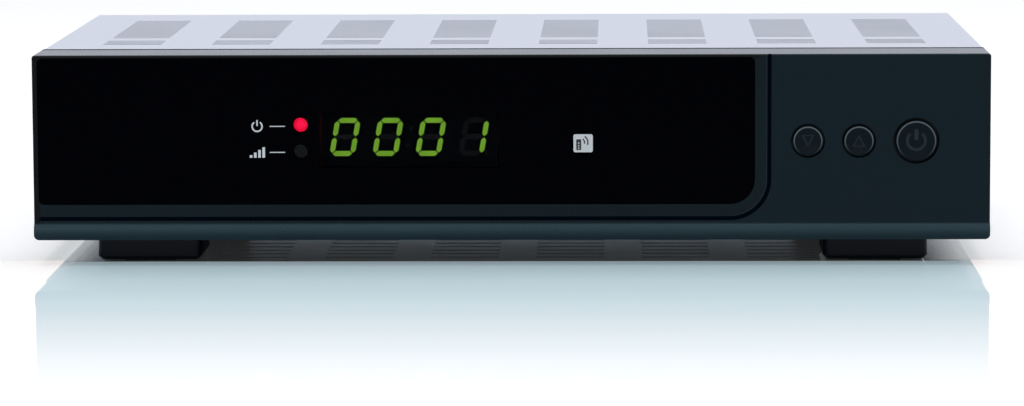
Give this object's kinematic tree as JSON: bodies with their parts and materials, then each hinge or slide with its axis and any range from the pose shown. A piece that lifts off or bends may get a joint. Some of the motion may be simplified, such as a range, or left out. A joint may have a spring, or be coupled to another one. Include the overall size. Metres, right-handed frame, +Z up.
{
  "type": "satellite tv receiver",
  "caption": "Low box-shaped set-top receiver: gloss window with digit display, round push buttons, slotted steel cover, feet, and sockets through the rear panel.",
  "frame": {"origin": "middle of the bounding box at the underside of the foot pads", "axes": "+X to the right of someone facing the front, +Y to the back, +Z up"},
  "size_m": [0.26, 0.1618, 0.0575],
  "materials": {
    "bezel_plastic": "satin moulded black with a blue cast",
    "window_acrylic": "polished",
    "button_plastic": "satin",
    "plunger_plastic": "moulded",
    "switch_plastic": "moulded",
    "front_board_laminate": "bare laminate",
    "display_plastic": "moulded",
    "lit_segments": "translucent",
    "lit_red_lens": "translucent",
    "green_lens": "translucent",
    "receiver_epoxy": "translucent",
    "cover_paint": "silver grey",
    "plated_steel": "zinc plated",
    "panel_paint": "silver grey",
    "foot_plastic": "moulded",
    "pad_rubber": "matt",
    "board_laminate": "green solder mask",
    "supply_laminate": "bare laminate",
    "chip_epoxy": "moulded",
    "heatsink_aluminium": "extruded",
    "crystal_can": "drawn",
    "capacitor_sleeve": "shrunk sleeve",
    "header_nylon": "moulded",
    "ribbon_vinyl": "extruded",
    "wire_vinyl": "extruded",
    "tin_plate": "tinned",
    "nickel": "nickel plated",
    "white_nylon": "moulded",
    "socket_plastic": "moulded",
    "yellow_plastic": "moulded",
    "white_plastic": "moulded",
    "red_plastic": "moulded",
    "orange_plastic": "moulded",
    "inlet_plastic": "moulded",
    "fuse_glass": "clear tube",
    "choke_tape": "wound tape",
    "filter_plastic": "moulded",
    "transformer_tape": "wound tape",
    "insulation_film": "film",
    "zinc_screw": "zinc plated",
    "black_screw": "black oxide"
  },
  "bodies": {
    "case": {"board_chips": "chip_epoxy", "board_screws": "zinc_screw", "bulk_capacitor": "capacitor_sleeve", "cable_headers": "header_nylon", "case_screws": "black_screw", "chassis_pan": "plated_steel", "clock_crystal": "crystal_can", "decoder_chip": "chip_epoxy", "decoder_heatsink": "heatsink_aluminium", "display_module": "display_plastic", "display_segments": "lit_segments", "display_window": "window_acrylic", "feet": "foot_plastic", "foot_pads": "pad_rubber", "foot_screws": "black_screw", "front_bezel": "bezel_plastic", "front_board": "front_board_laminate", "front_screws": "zinc_screw", "hdmi_shell": "nickel", "hdmi_tongue": "socket_plastic", "infrared_receiver": "receiver_epoxy", "inlet_pins": "nickel", "insulation_sheet": "insulation_film", "line_choke": "choke_tape", "lnb_connectors": "nickel", "lnb_insulators": "white_nylon", "main_board": "board_laminate", "mains_fuse": "fuse_glass", "mains_inlet": "inlet_plastic", "phono_blocks": "socket_plastic", "phono_collar_orange": "orange_plastic", "phono_collar_red": "red_plastic", "phono_collar_white": "white_plastic", "phono_collar_yellow": "yellow_plastic", "phono_cores": "white_nylon", "phono_sleeves": "nickel", "power_lamp": "lit_red_lens", "power_transistor": "chip_epoxy", "power_wires": "wire_vinyl", "rear_panel": "panel_paint", "ribbon_cable": "ribbon_vinyl", "scart_socket": "socket_plastic", "serial_core": "socket_plastic", "serial_jack_posts": "nickel", "serial_shell": "nickel", "signal_lamp": "green_lens", "small_capacitors": "capacitor_sleeve", "supply_board": "supply_laminate", "supply_heatsink": "heatsink_aluminium", "suppression_capacitor": "filter_plastic", "tact_switches": "switch_plastic", "top_cover": "cover_paint", "transformer": "transformer_tape", "tuner_can": "tin_plate"},
    "channel_down": {"channel_down_button": "button_plastic", "channel_down_plunger": "plunger_plastic"},
    "channel_up": {"channel_up_button": "button_plastic", "channel_up_plunger": "plunger_plastic"},
    "power": {"power_button": "button_plastic", "power_plunger": "plunger_plastic"}
  },
  "joints": [
    {"name": "channel_down_press", "type": "slide", "parent": "case", "child": "channel_down", "axis": [0, 1, 0], "range_m": [0, 0.0005], "stiffness_N_per_m": 3000},
    {"name": "channel_up_press", "type": "slide", "parent": "case", "child": "channel_up", "axis": [0, 1, 0], "range_m": [0, 0.0005], "stiffness_N_per_m": 3000},
    {"name": "power_press", "type": "slide", "parent": "case", "child": "power", "axis": [0, 1, 0], "range_m": [0, 0.0005], "stiffness_N_per_m": 3000}
  ]
}
